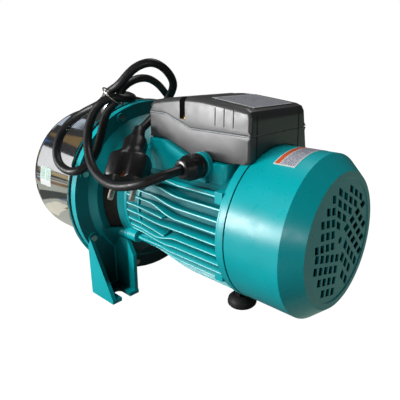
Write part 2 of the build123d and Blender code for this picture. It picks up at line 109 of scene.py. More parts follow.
# One smooth curve led by its control points, round, with the given radius in metres
def cordCurve(name, lead, radius):
    curve = bpy.data.curves.new(name, "CURVE")
    curve.dimensions = "3D"
    curve.resolution_u = 10
    curve.bevel_depth = 1.0         # metres; the radius of each point scales it down
    curve.bevel_resolution = 6
    curve.use_fill_caps = True
    spline = curve.splines.new("NURBS")
    spline.points.add(len(lead["route"]) - 1)
    for point, place in zip(spline.points, lead["route"]):
        point.co = (*at(*place), 1.0)
        point.radius = radius
    spline.order_u = 3
    spline.use_endpoint_u = True
    piece = bpy.data.objects.new(name, curve)
    bpy.context.collection.objects.link(piece)
    return piece


flexCord = cordCurve("flexCord", cordLead, cordLead["diameter"] / 2 * mm)
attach(flexCord, "pump")
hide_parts("power_cord")
print("cord laid")


# --- Materials -------------------------------------------------------------------
# A hex colour as it is written for screens, turned into the linear values that shaders use
def linear(hexColour):
    values = [int(hexColour[i:i + 2], 16) / 255 for i in (1, 3, 5)]
    return [v / 12.92 if v <= 0.04045 else ((v + 0.055) / 1.055) ** 2.4 for v in values] + [1.0]


# Adds a node with its settings, and links: inputs are values, or sockets of other nodes
def addNode(tree, kind, inputs=None, **settings):
    node = tree.nodes.new(kind)
    for key, value in settings.items():
        setattr(node, key, value)
    for key, value in (inputs or {}).items():
        if isinstance(value, bpy.types.NodeSocket):
            tree.links.new(value, node.inputs[key])
        else:
            node.inputs[key].default_value = value
    return node


def newMaterial(name):
    material = bpy.data.materials.new(name)
    material.use_nodes = True
    tree = material.node_tree
    shader = tree.nodes["Principled BSDF"]
    place = addNode(tree, "ShaderNodeTexCoord").outputs["Object"]
    return material, tree, shader, place


# A noise of blobs of a real size in mm; stretch makes them longer along an axis
def noiseOf(tree, place, size, detail=4.0, stretch=(1, 1, 1)):
    scaled = addNode(tree, "ShaderNodeMapping", {"Vector": place, "Scale": [1 / s for s in stretch]})
    return addNode(tree, "ShaderNodeTexNoise", {
        "Vector": scaled.outputs["Vector"], "Scale": 1 / (size * mm), "Detail": detail,
    }).outputs["Fac"]


# The noise value spread between two numbers
def spread(tree, value, low, high):
    return addNode(tree, "ShaderNodeMapRange", {
        "Value": value, "From Min": 0.3, "From Max": 0.7, "To Min": low, "To Max": high,
    }).outputs["Result"]


def mixColours(tree, factor, first, second, blend="MIX"):
    node = addNode(tree, "ShaderNodeMix", {}, data_type="RGBA", blend_type=blend)
    for key, value in ((0, factor), (6, first), (7, second)):
        if isinstance(value, bpy.types.NodeSocket):
            tree.links.new(value, node.inputs[key])
        else:
            node.inputs[key].default_value = value
    return node.outputs[2]


def bumpOf(tree, height, distance, strength=1.0):
    return addNode(tree, "ShaderNodeBump", {
        "Height": height, "Distance": distance * mm, "Strength": strength,
    }).outputs["Normal"]


# A surface of one real stuff: two shades mixed by a slow noise, a roughness range, and a
# fine bump whose grain is given in mm
def plainStuff(name, shades, rough, metallic=0.0, grain=0.4, depth=0.02, patch=25.0,
               stretch=(1, 1, 1), coat=0.0, level=0.5):
    material, tree, shader, place = newMaterial(name)
    slow = spread(tree, noiseOf(tree, place, patch), 0.0, 1.0)
    shader.inputs["Base Color"].default_value = linear(shades[0])
    tree.links.new(mixColours(tree, slow, linear(shades[0]), linear(shades[1])), shader.inputs["Base Color"])
    fine = noiseOf(tree, place, grain, 3.0, stretch)
    tree.links.new(spread(tree, noiseOf(tree, place, patch * 0.3), *rough), shader.inputs["Roughness"])
    tree.links.new(bumpOf(tree, fine, depth), shader.inputs["Normal"])
    shader.inputs["Metallic"].default_value = metallic
    shader.inputs["Coat Weight"].default_value = coat
    shader.inputs["Coat Roughness"].default_value = 0.12
    shader.inputs["Specular IOR Level"].default_value = level
    return material


# Satin enamel on the cast fins. Its colour follows reach, 0 at the root and 1 at the tip: the
# dark root stands in for the shade between close fins, the pale tip for the glint on its edge
def finEnamel():
    material, tree, shader, place = newMaterial("tealFins")
    reach = addNode(tree, "ShaderNodeAttribute", attribute_name="reach").outputs["Fac"]
    ramp = addNode(tree, "ShaderNodeValToRGB", {"Fac": reach})
    colours = ramp.color_ramp.elements
    colours[0].color = linear("#00585E")
    colours[1].color = linear("#A6ECEE")
    for position, shade in ((0.5, "#00868D"), (0.86, "#00A0A6"), (0.93, "#12ADB2")):
        colours.new(position).color = linear(shade)
    tree.links.new(ramp.outputs["Color"], shader.inputs["Base Color"])
    tree.links.new(spread(tree, noiseOf(tree, place, 8), 0.34, 0.46), shader.inputs["Roughness"])
    tree.links.new(bumpOf(tree, noiseOf(tree, place, 1.2), 0.02), shader.inputs["Normal"])
    return material


# Where painted shade darkens the enamel of the castings. Each pair is the start and end of a soft edge,
# as a station, a distance from the middle plane or a height in mm
paintedShadeZone = {
    "facing": (0.5, 0.9),       # X part of the normal of a face that looks back at the motor
    "wallEnd": (32, 36),        # station
    "legInside": (72, 76),      # distance from the middle plane
    "recessTop": (70, 95),      # height
    "recessFront": (9, 12),     # station
    "height": (0, 90),
    "strength": (0.96, 0.6),    # at the two ends of that height
    "colour": "#001B1C",
}


# Satin enamel on die-cast aluminium, with a dark that stands in for deep shade. The dark is
# the larger of (facing the motor) and (between the legs), times (before the wall's end),
# times the strength at that height.
def castingEnamel():
    material = plainStuff("tealCasting", ("#00A5AB", "#009AA2"), (0.28, 0.40), grain=1.2, depth=0.03)
    tree = material.node_tree
    shader = tree.nodes["Principled BSDF"]
    paint = shader.inputs["Base Color"].links[0].from_socket
    where = addNode(tree, "ShaderNodeTexCoord")
    facing = addNode(tree, "ShaderNodeSeparateXYZ", {0: where.outputs["Normal"]}).outputs["X"]
    split = addNode(tree, "ShaderNodeSeparateXYZ", {0: where.outputs["Object"]})

    def ramped(value, edge, start, end, scale=mm, origin=0.0):
        low, high = ((v - origin) * scale for v in edge)
        return addNode(tree, "ShaderNodeMapRange", {
            "Value": value, "From Min": low, "From Max": high, "To Min": start, "To Max": end},
            interpolation_type="SMOOTHSTEP").outputs["Result"]

    def combined(operation, first, second):
        return addNode(tree, "ShaderNodeMath", {0: first, 1: second}, operation=operation).outputs[0]

    backward = ramped(facing, paintedShadeZone["facing"], 0.0, 1.0, scale=1.0)
    forward = ramped(split.outputs["X"], paintedShadeZone["wallEnd"], 1.0, 0.0, origin=middleX)
    side = addNode(tree, "ShaderNodeMath", {0: split.outputs["Y"]}, operation="ABSOLUTE").outputs[0]
    inner = ramped(side, paintedShadeZone["legInside"], 1.0, 0.0)
    low = ramped(split.outputs["Z"], paintedShadeZone["recessTop"], 1.0, 0.0)
    behind = ramped(split.outputs["X"], paintedShadeZone["recessFront"], 0.0, 1.0, origin=middleX)
    between = combined("MULTIPLY", combined("MULTIPLY", inner, low), behind)
    dark = combined("MULTIPLY", combined("MAXIMUM", backward, between), forward)
    strength = ramped(split.outputs["Z"], paintedShadeZone["height"], *paintedShadeZone["strength"])
    cover = combined("MULTIPLY", dark, strength)
    tree.links.new(mixColours(tree, cover, paint, linear(paintedShadeZone["colour"])), shader.inputs["Base Color"])
    return material


finishes = {
    "tealFins": finEnamel(),
    # the same enamel between the fins, duller, and darker as painted shade between close fins
    "tealFinShade": plainStuff("tealFinShade", ("#007B82", "#006C73"), (0.5, 0.65), grain=1.2, depth=0.03),
    # satin enamel on die-cast aluminium, with the casting's texture under it and painted shade on the faces
    # that look back at the motor and between the legs
    "tealCasting": castingEnamel(),
    # the same enamel on smooth pressed sheet
    "tealSheet": plainStuff("tealSheet", ("#00A3A9", "#009BA2"), (0.26, 0.33), grain=1.6, depth=0.006),
    # mirror-polished pressed stainless steel with faint drawing lines round the bowl
    "polishedSteel": plainStuff("polishedSteel", ("#DCDDDE", "#CFD0D2"), (0.05, 0.10), 1.0, 0.25, 0.004,
                                stretch=(1, 30, 30)),
    "turnedSteel": plainStuff("turnedSteel", ("#C9CACC", "#B5B6B8"), (0.22, 0.34), 1.0, 0.2, 0.01),
    "zincPlate": plainStuff("zincPlate", ("#C8C9C2", "#A9ABA6"), (0.25, 0.42), 1.0, 0.3, 0.01, patch=4),
    "turnedBrass": plainStuff("turnedBrass", ("#C9A24E", "#B58B3C"), (0.2, 0.35), 1.0, 0.2, 0.01, patch=5),
    "rubberBlack": plainStuff("rubberBlack", ("#131313", "#1B1A19"), (0.5, 0.7), grain=0.5,
                              depth=0.03, patch=12),
    "cordSheath": plainStuff("cordSheath", ("#0E0E0F", "#171718"), (0.36, 0.5), grain=0.6,
                             depth=0.03, patch=15),
    "mouldedBlack": plainStuff("mouldedBlack", ("#101011", "#191818"), (0.3, 0.45), grain=0.35,
                               depth=0.015, patch=10),
    "glossBlack": plainStuff("glossBlack", ("#1C1C1E", "#242426"), (0.12, 0.2), grain=0.5,
                             depth=0.004, patch=6),
    "lipPlastic": plainStuff("lipPlastic", ("#B4B9BB", "#8F9496"), (0.25, 0.35), grain=0.3,
                             depth=0.004, patch=20),
    # near-black painted shade, worn only by the sheet in the lantern
    "paintedShadeBlack": plainStuff("paintedShadeBlack", ("#1A1512", "#0F0E0E"), (0.5, 0.7), grain=1.0,
                             depth=0.06, patch=12),
    "boxPlastic": plainStuff("boxPlastic", ("#3E3E40", "#353434"), (0.30, 0.38), grain=0.3,
                             depth=0.004, patch=30, level=0.7),
    "whitePlastic": plainStuff("whitePlastic", ("#D8D8D0", "#C6C6BE"), (0.35, 0.5), grain=0.4, depth=0.015),
    "groundSteel": plainStuff("groundSteel", ("#A9AAAC", "#8F9092"), (0.18, 0.3), 1.0, 0.15, 0.006,
                              stretch=(1, 20, 20)),
    "laminations": plainStuff("laminations", ("#5C5B5A", "#474645"), (0.4, 0.6), 1.0, 0.5, 0.08,
                              stretch=(1, 60, 60)),
    "copperWire": plainStuff("copperWire", ("#B4683A", "#8E4A26"), (0.25, 0.4), 1.0, 1.2, 0.2),
    "lappedCeramic": plainStuff("lappedCeramic", ("#E4DFD0", "#D8D2C2"), (0.15, 0.25), grain=0.3,
                                depth=0.004),
    "graphite": plainStuff("graphite", ("#1F1F20", "#161617"), (0.3, 0.45), grain=0.3, depth=0.01),
    "nickelPlate": plainStuff("nickelPlate", ("#E9E4D6", "#D6D0C2"), (0.42, 0.55), 1.0, 0.3, 0.01, patch=4),
    "capacitorFilm": plainStuff("capacitorFilm", ("#D5D6D8", "#C4C5C8"), (0.2, 0.32), grain=0.8,
                                depth=0.02),
}


speckRow = -0.2
speckNoise = 0.47


# A printed label: fields are (low, high) ranges in mm along X of one colour each, inside a
# white border; the plain field carries rows of fine specks in place of print. A row shows
# where the sine of X is above speckRow, and a speck where the noise is above speckNoise.
def printedLabel(name, ground, specks, border, acrossRange, alongRange, fields=(), rowPitch=2.2):
    material, tree, shader, place = newMaterial(name)
    split = addNode(tree, "ShaderNodeSeparateXYZ", {0: place})

    def within(axis, low, high):
        value = split.outputs[axis]
        above = addNode(tree, "ShaderNodeMath", {0: value, 1: low * mm}, operation="GREATER_THAN")
        below = addNode(tree, "ShaderNodeMath", {0: value, 1: high * mm}, operation="LESS_THAN")
        return addNode(tree, "ShaderNodeMath", {0: above.outputs[0], 1: below.outputs[0]},
                       operation="MULTIPLY").outputs[0]

    x0, x1 = (v - middleX for v in alongRange)
    inner = addNode(tree, "ShaderNodeMath", {
        0: within("X", x0 + border, x1 - border),
        1: within("Y", acrossRange[0] + border, acrossRange[1] - border)}, operation="MULTIPLY").outputs[0]
    rows = addNode(tree, "ShaderNodeMath", {0: split.outputs["X"], 1: 2 * math.pi / (rowPitch * mm)},
                   operation="MULTIPLY").outputs[0]
    rows = addNode(tree, "ShaderNodeMath", {0: rows}, operation="SINE").outputs[0]
    marks = noiseOf(tree, place, 0.9, 2.0, (0.7, 1.4, 1))
    marks = addNode(tree, "ShaderNodeMath", {0: marks, 1: speckNoise}, operation="GREATER_THAN").outputs[0]
    rows = addNode(tree, "ShaderNodeMath", {0: rows, 1: speckRow}, operation="GREATER_THAN").outputs[0]
    printed = addNode(tree, "ShaderNodeMath", {0: rows, 1: marks}, operation="MULTIPLY").outputs[0]
    colour = mixColours(tree, printed, linear(ground), linear(specks))
    for low, high, paint in fields:
        colour = mixColours(tree, within("X", low - middleX, high - middleX), colour, linear(paint))
    colour = mixColours(tree, inner, linear("#C9CCCB"), colour)
    tree.links.new(colour, shader.inputs["Base Color"])
    tree.links.new(spread(tree, noiseOf(tree, place, 6), 0.3, 0.42), shader.inputs["Roughness"])
    tree.links.new(bumpOf(tree, noiseOf(tree, place, 1.5), 0.01), shader.inputs["Normal"])
    return material


finishes["labelFoil"] = printedLabel("labelFoil", "#74777E", "#A7AAB2", 1.0, (-28, 28), (128.5, 175))
finishes["labelOrange"] = printedLabel("labelOrange", "#A9ABB6", "#5E606B", 0.8, (-31.5, 26), (197, 217),
                                       [(197, 202.2, "#C24E1C"), (202.2, 203, "#C9CCCB")], 1.9)
finishes["labelWhite"] = printedLabel("labelWhite", "#B9CFC6", "#6F8A86", 1.0, (-82, -60), (-98, -74),
                                      [(-86, -85, "#DDE4DE")], 2.6)

# The CAD nodes that wear each finish
wornBy = {
    "polishedSteel": ["pump_body", "seal_plate"],
    "turnedSteel": ["suction_port", "discharge_port", "priming_boss", "drain_boss", "impeller_nut",
                    "seal_spring"],
    "turnedBrass": ["priming_plug", "drain_plug", "nozzle", "impeller", "box_screws"],
    "rubberBlack": ["priming_seal_ring", "drain_seal_ring", "body_gasket", "box_gasket", "slinger",
                    "foot_pad"],
    "whitePlastic": ["ejector_body", "venturi_tube", "diffuser", "terminal_block"],
    "lappedCeramic": ["seal_seat"],
    "graphite": ["seal_head"],
    "zincPlate": ["flange_bolts", "foot_screw", "wire_tie"],
    "tealCasting": ["motor_bracket", "motor_frame", "rear_shield", "tie_bolts"],
    "tealSheet": ["fan_cover"],
    "groundSteel": ["shaft", "front_bearing_outer", "front_bearing_inner", "rear_bearing_outer",
                    "rear_bearing_inner", "fan_clip"],
    "laminations": ["rotor_core", "stator_core"],
    "copperWire": ["stator_windings", "plug_earth_contacts"],
    "mouldedBlack": ["fan", "gland_body", "gland_nut", "foot_post", "plug_body"],
    "boxPlastic": ["terminal_box_base", "terminal_box_cover"],
    "capacitorFilm": ["capacitor"],
    "labelFoil": ["rating_label"],
    "labelOrange": ["cover_label"],
    "labelWhite": ["body_label"],
    "nickelPlate": ["plug_pins"],
    "cordSheath": ["power_cord"],
}
for finish, worn in wornBy.items():
    for name in worn:
        for materialSlot in nodes[name].material_slots:
            materialSlot.material = finishes[finish]
flexCord.data.materials.append(finishes["cordSheath"])
print("materials made")


# --- Mesh helpers ----------------------------------------------------------------
# Turns the faces of a closed surface outwards: the volume summed from fans of triangles
# comes out below zero when they point inwards
def outward(points, faces):
    points = np.asarray(points, float)
    triangles = np.array([(f[0], f[i], f[i + 1]) for f in faces for i in range(1, len(f) - 1)])
    a, b, c = (points[triangles[:, k]] for k in range(3))
    volume = np.einsum("ij,ij->i", a, np.cross(b, c)).sum()
    return points, [f[::-1] for f in faces] if volume < 0 else faces


# A piece from points in (station, y, z) mm and faces as lists of point numbers. Edges
# sharper than the given angle stay sharp; bevel is the rounding of those edges in mm.
def makePiece(name, points, faces, finish, slot, body="pump", sharp=35.0, bevel=0.0):
    points, faces = outward(points, faces)
    mesh = bpy.data.meshes.new(name)
    placed = (np.asarray(points, float) - (middleX, 0, 0)) * mm
    mesh.from_pydata(placed.tolist(), [], [list(map(int, f)) for f in faces])
    mesh.update()
    mesh.shade_smooth()
    mesh.set_sharp_from_angle(angle=math.radians(sharp))
    piece = bpy.data.objects.new(name, mesh)
    bpy.context.collection.objects.link(piece)
    mesh.materials.append(finishes[finish])
    if bevel > 0:
        rounding = piece.modifiers.new("rounding", "BEVEL")
        rounding.width = bevel * mm
        rounding.segments = 2
        rounding.limit_method = "ANGLE"
        rounding.angle_limit = math.radians(sharp)
        rounding.harden_normals = True
    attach(piece, body)
    return piece


# Faces of a grid of rows by columns, closed in either direction where asked
def gridFaces(rows, columns, closedRows=False, closedColumns=True):
    faces = []
    for i in range(rows if closedRows else rows - 1):
        for j in range(columns if closedColumns else columns - 1):
            a, b = i * columns + j, i * columns + (j + 1) % columns
            c, d = ((i + 1) % rows) * columns + (j + 1) % columns, ((i + 1) % rows) * columns + j
            faces.append((a, b, c, d))
    return faces


turnSteps = 128


# Points turned about the shaft: each (station, radius) is carried round a full circle
def turnedPoints(profile, segments=turnSteps):
    angle = np.linspace(0, 2 * math.pi, segments, endpoint=False)
    rows = [np.stack([np.full(segments, x), r * np.cos(angle), shaftZ + r * np.sin(angle)], 1)
            for x, r in profile]
    return np.concatenate(rows)


def turnedPiece(name, profile, finish, slot, **settings):
    faces = gridFaces(len(profile), turnSteps, closedRows=True)
    return makePiece(name, turnedPoints(profile), faces, finish, slot, **settings)


# Several closed grids in one mesh: each part is (points, faces)
def gathered(parts):
    points, faces, count = [], [], 0
    for partPoints, partFaces in parts:
        partPoints, partFaces = outward(partPoints, partFaces)
        points.append(partPoints)
        faces += [tuple(i + count for i in f) for f in partFaces]
        count += len(partPoints)
    return np.concatenate(points), faces


# A box between two corners, in mm
def boxPart(low, high):
    x, y, z = zip(low, high)
    points = [(x[i], y[j], z[k]) for i in (0, 1) for j in (0, 1) for k in (0, 1)]
    faces = [(0, 1, 3, 2), (4, 6, 7, 5), (0, 4, 5, 1), (2, 3, 7, 6), (0, 2, 6, 4), (1, 5, 7, 3)]
    return points, faces


# A bar along X at an angle and radius round the shaft, from rings of (station, bar radius)
def barPart(profile, angle, away, segments=24):
    around = np.linspace(0, 2 * math.pi, segments, endpoint=False)
    cy = away * math.cos(math.radians(angle))
    cz = shaftZ + away * math.sin(math.radians(angle))
    rows = [np.stack([np.full(segments, x), cy + r * np.cos(around), cz + r * np.sin(around)], 1)
            for x, r in profile]
    ends = [tuple(range(segments))[::-1], tuple((len(profile) - 1) * segments + i for i in range(segments))]
    return np.concatenate(rows), gridFaces(len(profile), segments) + ends


# --- Motor frame -----------------------------------------------------------------
# The casting as seen: a turned shell with end rings, fins that fan out at the front and
# gather to an even pitch at the back, the pedestal of the box, and the lugs of the bolts.
motor = {
    "shell": [(36, 61.5), (36.6, 62), (41, 62), (42, 60.5), (50, 58.5), (164, 58.5), (168.6, 62),
              (169.2, 69.4), (169.6, 70), (171.4, 70), (172, 69.4), (172, 55.2), (36, 55.2)],
    "barrel": [(41.6, 60.8), (50, 58.8), (164, 58.8), (168.4, 61.8), (168.4, 57), (41.6, 57)],
    "finStations": (41, 170),
    "finHeight": ([41, 44, 62, 84, 104, 120, 170], [61.5, 62.5, 63.2, 65.8, 68.8, 69.7, 69.7]),
    "finRoot": 57.5,
    "finThickness": (2.6, 1.5),     # at the root and at the tip
    "finTurn": (80, 122),           # stations between which a fin changes its angle
    # angle of each fin on the gland side at the back, and how far it stands off it at the front
    "finAngles": {150: -2.5, 158: -3.5, 166: -3.5, 174: -5.0, 182: 2.0, 190: 9.0, 198: 5.5,
                  206: 4.5, 214: 2.5, 222: 1.5, 230: 0.5, 238: 0, 246: 0, 254: 0, 262: 0, 270: 0},
    "shortFins": (177.0, 192.0),    # these end half way along
    "shortEnd": 103.0,
    "hoop": [(57, 58), (57, 60.6), (59.2, 60.6), (59.2, 58)],
    "frontLug": [(36, 6.2), (36.4, 6.6), (49.6, 6.6), (50, 6.2)],
    "frontLugAngles": (31.5, 148.5, 211.5, 328.5),
    "frontLugRadius": 64.0,
    # square lugs at the back: stations, distance from the middle plane, height off the shaft, half side
    "rearLug": ((161, 169.5), 56, 34, 5),
    # boss over the rear foot, block under the gland and the rib behind it, by opposite corners
    "blocks": [((133, -9, 30), (149, 9, 43)), ((126, -47.5, 138), (138, -42, 150)),
               ((139.4, -45.0, 130), (141, -43, 154))],
}


# A fin: at each station a thin section from root to tip, at an angle that eases from its
# front value to its back value. Round the section run root, tip, tip, root.
def finPart(frontAngle, backAngle, end):
    stations = np.linspace(motor["finStations"][0], end, 44)
    low, high = motor["finTurn"]
    t = np.clip((stations - low) / (high - low), 0, 1)
    angle = np.radians(frontAngle + (backAngle - frontAngle) * t * t * (3 - 2 * t))
    tip = np.interp(stations, *motor["finHeight"])
    rootHalf, tipHalf = (v / 2 for v in motor["finThickness"])
    rows = []
    for radius, across in ((motor["finRoot"], -rootHalf), (tip - 0.5, -tipHalf), (tip, -tipHalf + 0.4),
                           (tip, tipHalf - 0.4), (tip - 0.5, tipHalf), (motor["finRoot"], rootHalf)):
        y = radius * np.cos(angle) - across * np.sin(angle)
        z = shaftZ + radius * np.sin(angle) + across * np.cos(angle)
        rows.append(np.stack([stations, y, z], 1))
    points = np.stack(rows, 1).reshape(-1, 3)
    ends = [tuple(range(6)), tuple((len(stations) - 1) * 6 + i for i in range(6))[::-1]]
    faces = [f[::-1] for f in gridFaces(len(stations), 6)]
    return points, faces + ends


def motorFrame():
    shell = turnedPiece("motorShell", motor["shell"], "tealCasting", "teal_paint", bevel=0.4)
    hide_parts("motor_frame")
    # the floor between the fins, darkened with painted shade
    turnedPiece("finFloor", motor["barrel"], "tealFinShade", "teal_paint")
    fins = []
    for back, shift in motor["finAngles"].items():
        fins.append(finPart(back + shift, back, motor["finStations"][1]))
        if back != 270:
            fins.append(finPart(180 - back - shift, 180 - back, motor["finStations"][1]))
    for angle in motor["shortFins"]:
        fins.append(finPart(angle, angle, motor["shortEnd"]))
        fins.append(finPart(180 - angle, 180 - angle, motor["shortEnd"]))
    points, faces = gathered(fins)
    ribs = makePiece("coolingFins", points, faces, "tealFins", "teal_paint", sharp=50)
    reach = ribs.data.attributes.new("reach", "FLOAT", "POINT")     # 0 at the root of a fin, 1 at its tip
    reach.data.foreach_set("value", np.tile([0, 0.9, 1, 1, 0.9, 0], len(points) // 6))
    # low hoop that ties the fins together behind the front ring
    turnedPiece("finHoop", motor["hoop"], "tealCasting", "teal_paint", bevel=0.3)
    lugs = [barPart(motor["frontLug"], angle, motor["frontLugRadius"]) for angle in motor["frontLugAngles"]]
    (front, back), away, rise, half = motor["rearLug"]
    for side in (-1, 1):
        for z in (shaftZ + rise, shaftZ - rise):
            lugs.append(boxPart((front, side * away - half, z - half), (back, side * away + half, z + half)))
    makePiece("boltLugs", *gathered(lugs), "tealCasting", "teal_paint", bevel=0.6)
    blocks = [boxPart(low, high) for low, high in motor["blocks"]]
    makePiece("footBoss", *gathered(blocks), "tealCasting", "teal_paint", bevel=0.8)


# The pedestal under the box, a solid block from its foot inside the motor up to the joint
pedestal = {
    "stations": (58, 158),
    "halfWidth": 44.0,
    "corner": 5.0,
    "foot": 125,
    "rim": 0.8,
    # stations and heights of the joint line
    "joint": ([58, 79, 83, 111, 115, 158], [168.2, 168.2, 167.4, 157.2, 156.2, 156.2]),
}


# At each station the section is a rectangle whose top follows the joint. Near an end its half
# width is the full one, less corner, plus the root of (corner squared less inset squared).
def pedestalPiece():
    (low, high), corner, rim = pedestal["stations"], pedestal["corner"], pedestal["rim"]
    ease = np.linspace(0, math.pi / 2, 7)
    first, last = low + corner, high - corner
    x = np.concatenate([low + corner * (1 - np.cos(ease)), np.linspace(first + 1, last - 1, 45),
                        last + corner * np.sin(ease)])
    inset = np.maximum(0, np.maximum(first - x, x - last))
    half = pedestal["halfWidth"] - corner + np.sqrt(np.maximum(0, corner ** 2 - inset ** 2))
    top = np.interp(x, *pedestal["joint"])
    foot = np.full_like(x, pedestal["foot"])
    section = ((-1, 0, foot), (-1, 0, top - rim), (-1, rim, top),
               (1, rim, top), (1, 0, top - rim), (1, 0, foot))
    points = np.stack([np.stack([x, side * (half - inward), z], 1) for side, inward, z in section], 1)
    faces = gridFaces(len(x), 6) + [tuple(range(6))[::-1], tuple((len(x) - 1) * 6 + i for i in range(6))]
    makePiece("boxPedestal", points.reshape(-1, 3), faces, "tealCasting", "teal_paint", sharp=40)


# The axis of the gland, which runs along Y
gland = {"station": 132, "height": 153.5}


# A piece turned about an axis along Y through the gland, from (y, radius) points
def glandPiece(name, profile, finish, slot, segments=64, ribs=0, ribDepth=0.0, ribRows=()):
    around = np.linspace(0, 2 * math.pi, segments, endpoint=False)
    rows = []
    for i, (y, r) in enumerate(profile):
        radius = r + (ribDepth * np.cos(ribs * around) if i in ribRows else 0)
        rows.append(np.stack([gland["station"] + radius * np.cos(around), np.full(segments, y),
                              gland["height"] + radius * np.sin(around)], 1))
    faces = gridFaces(len(profile), segments, closedRows=True)
    return makePiece(name, np.concatenate(rows), faces, finish, slot, bevel=0.25)


def cableGland():
    body = glandPiece("glandBody", [(-54, 4.2), (-54, 10.2), (-53.2, 11), (-50.2, 11), (-49.6, 10.4),
                                    (-49.6, 7), (-40, 7), (-40, 4.2)], "mouldedBlack", "black_plastic")
    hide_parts("gland_body")
    nut = glandPiece("glandNut", [
        (-70, 4.15), (-70, 7.4), (-69.6, 8.0), (-69, 8.2), (-68.4, 7.7), (-67.6, 8.6), (-63, 10.4),
        (-62.4, 11), (-61.8, 10.5), (-61.2, 11.0), (-55.4, 11.0), (-54.4, 10.5), (-54.4, 4.15),
    ], "mouldedBlack", "black_plastic", segments=144, ribs=18, ribDepth=0.16, ribRows=(9, 10))
    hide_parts("gland_nut")
    glandPiece("glandTipRing", [(-70.25, 4.3), (-70.25, 6.6), (-69.9, 7.3), (-69.9, 4.3)],
               "glossBlack", "black_plastic")
    glandPiece("glandBoss", [(-48.6, 7.2), (-48.6, 10.8), (-48, 11.4), (-43, 11.4), (-43, 7.2)],
               "tealCasting", "teal_paint")


motorFrame()
pedestalPiece()
cableGland()
print("motor frame and gland built")


# --- Terminal box ----------------------------------------------------------------
# Both halves are slabs across the motor: an outline in (station, z) is carried from cheek
# to cheek, and near a cheek it shrinks along its normals by a quarter circle.
terminalBox = {
    "seam": [(180.5, 182.6), (112, 182.6), (79, 193.1), (56, 193.1)],
    "crown": [(56, 200), (61, 204), (78, 206.6), (95, 208.6), (112, 209.4), (128, 209.0), (152, 206.4),
              (174, 203.8), (178.5, 201.5), (180.5, 197)],
    "floor": [(56, 169), (79.2, 169), (115.2, 157), (176, 157), (180.5, 161.5)],
    "topRounding": 5.0,
    "rearRounding": 3.5,
    "seamRounding": 0.7,
    "halfWidth": 38.6,          # at the top, where both cheeks start to slope outwards
    "nearSlope": 0.03,
    "farSlope": 0.17,
    "widthHeight": 209,         # the height at which halfWidth holds
    "floorRounding": 2.0,
    "seamMargin": (1.5, 2.5),   # how far from the seam the lid and the tray keep its small rounding
    "rearFrom": (176, 174),     # station from which the lid and the tray have the rear rounding
    # the screw slot in each cheek of the lid, by opposite corners
    "screwSlots": [((98.5, -48, 189.5), (105.5, -30, 215)), ((98.5, 30, 189.5), (105.5, 50, 215))],
    # three narrow grooves in each cheek: stations, half width, y ranges and heights
    "ribStations": (142, 152, 162),
    "ribHalf": 0.5,
    "ribRanges": ((-40.2, -38), (41.2, 50)),
    "ribHeights": (187.5, 202.5),
    # two grooves down the rear face: y of each, half width, stations, heights in lid and tray
    "rearGrooves": (-31.5, 30),
    "rearGrooveHalf": 0.7,
    "rearGrooveStations": (179.6, 182),
    "rearGrooveHeights": ((181, 203), (160, 184)),
    "coverSeat": [(165, 71.2), (190, 71.2)],        # hollow of the tray round the fan cover
    # the pale lip in the seam: its end stations, heights under the seam, rounding and how far it
    # stands off the near and the far cheek, as a factor
    "lipEnds": (179, 57),
    "lipDepths": (0.1, 0.9),
    "lipRounding": 0.35,
    "lipFactors": (1.006, 0.98),
}


# Points added along an outline so that no step is longer than the given one
def subdivided(outline, step):
    points = []
    for (x0, z0), (x1, z1) in zip(outline, outline[1:] + outline[:1]):
        count = max(1, int(math.hypot(x1 - x0, z1 - z0) / step))
        points += [(x0 + (x1 - x0) * i / count, z0 + (z1 - z0) * i / count) for i in range(count)]
    return np.array(points)


# A slab from near cheek to far cheek. At angle a of the quarter circle the outline moves
# inwards by rounding times (1 - cos a), and its cheek stands in by rounding times (1 - sin a).
# Inwards is square to the mean of the two edges that meet at a point.
def slabPart(outline, roundings):
    outline = np.asarray(outline, float)
    ahead = np.roll(outline, -1, 0) - outline
    behind = outline - np.roll(outline, 1, 0)
    ahead /= np.linalg.norm(ahead, axis=1)[:, None]
    behind /= np.linalg.norm(behind, axis=1)[:, None]
    along = ahead + behind
    along /= np.linalg.norm(along, axis=1)[:, None]
    inward = np.stack([along[:, 1], -along[:, 0]], 1)
    area = np.sum(outline[:, 0] * np.roll(outline[:, 1], -1) - np.roll(outline[:, 0], -1) * outline[:, 1])
    if area > 0:
        inward = -inward
    rows = []
    quarter = np.linspace(math.pi / 2, 0, 9)
    for side, angles in ((-1, quarter), (1, quarter[::-1])):
        slope = terminalBox["nearSlope"] if side < 0 else terminalBox["farSlope"]
        for a in angles:
            moved = outline + inward * (roundings * (1 - math.cos(a)))[:, None]
            half = terminalBox["halfWidth"] + slope * (terminalBox["widthHeight"] - moved[:, 1])
            y = side * (half - roundings + roundings * math.sin(a))
            rows.append(np.stack([moved[:, 0], y, moved[:, 1]], 1))
    count = len(outline)
    faces = gridFaces(len(rows), count)
    faces += [tuple(range(count))[::-1], tuple((len(rows) - 1) * count + i for i in range(count))]
    if area > 0:
        faces = [f[::-1] for f in faces]
    return np.concatenate(rows), faces


# Cuts boxes out of a piece for good
def carved(piece, parts):
    mesh = bpy.data.meshes.new("cutter")
    points, faces = gathered(parts)
    mesh.from_pydata(((points - (middleX, 0, 0)) * mm).tolist(), [], faces)
    cutter = bpy.data.objects.new("cutter", mesh)
    bpy.context.collection.objects.link(cutter)
    cut = piece.modifiers.new("cut", "BOOLEAN")
    cut.operation = "DIFFERENCE"
    cut.solver = "EXACT"
    cut.use_self = True
    cut.object = cutter
    bpy.context.view_layer.update()
    result = bpy.data.meshes.new_from_object(piece.evaluated_get(bpy.context.evaluated_depsgraph_get()))
    piece.modifiers.clear()
    piece.data = result
    result.shade_smooth()
    result.set_sharp_from_angle(angle=math.radians(35))
    bpy.data.objects.remove(cutter)


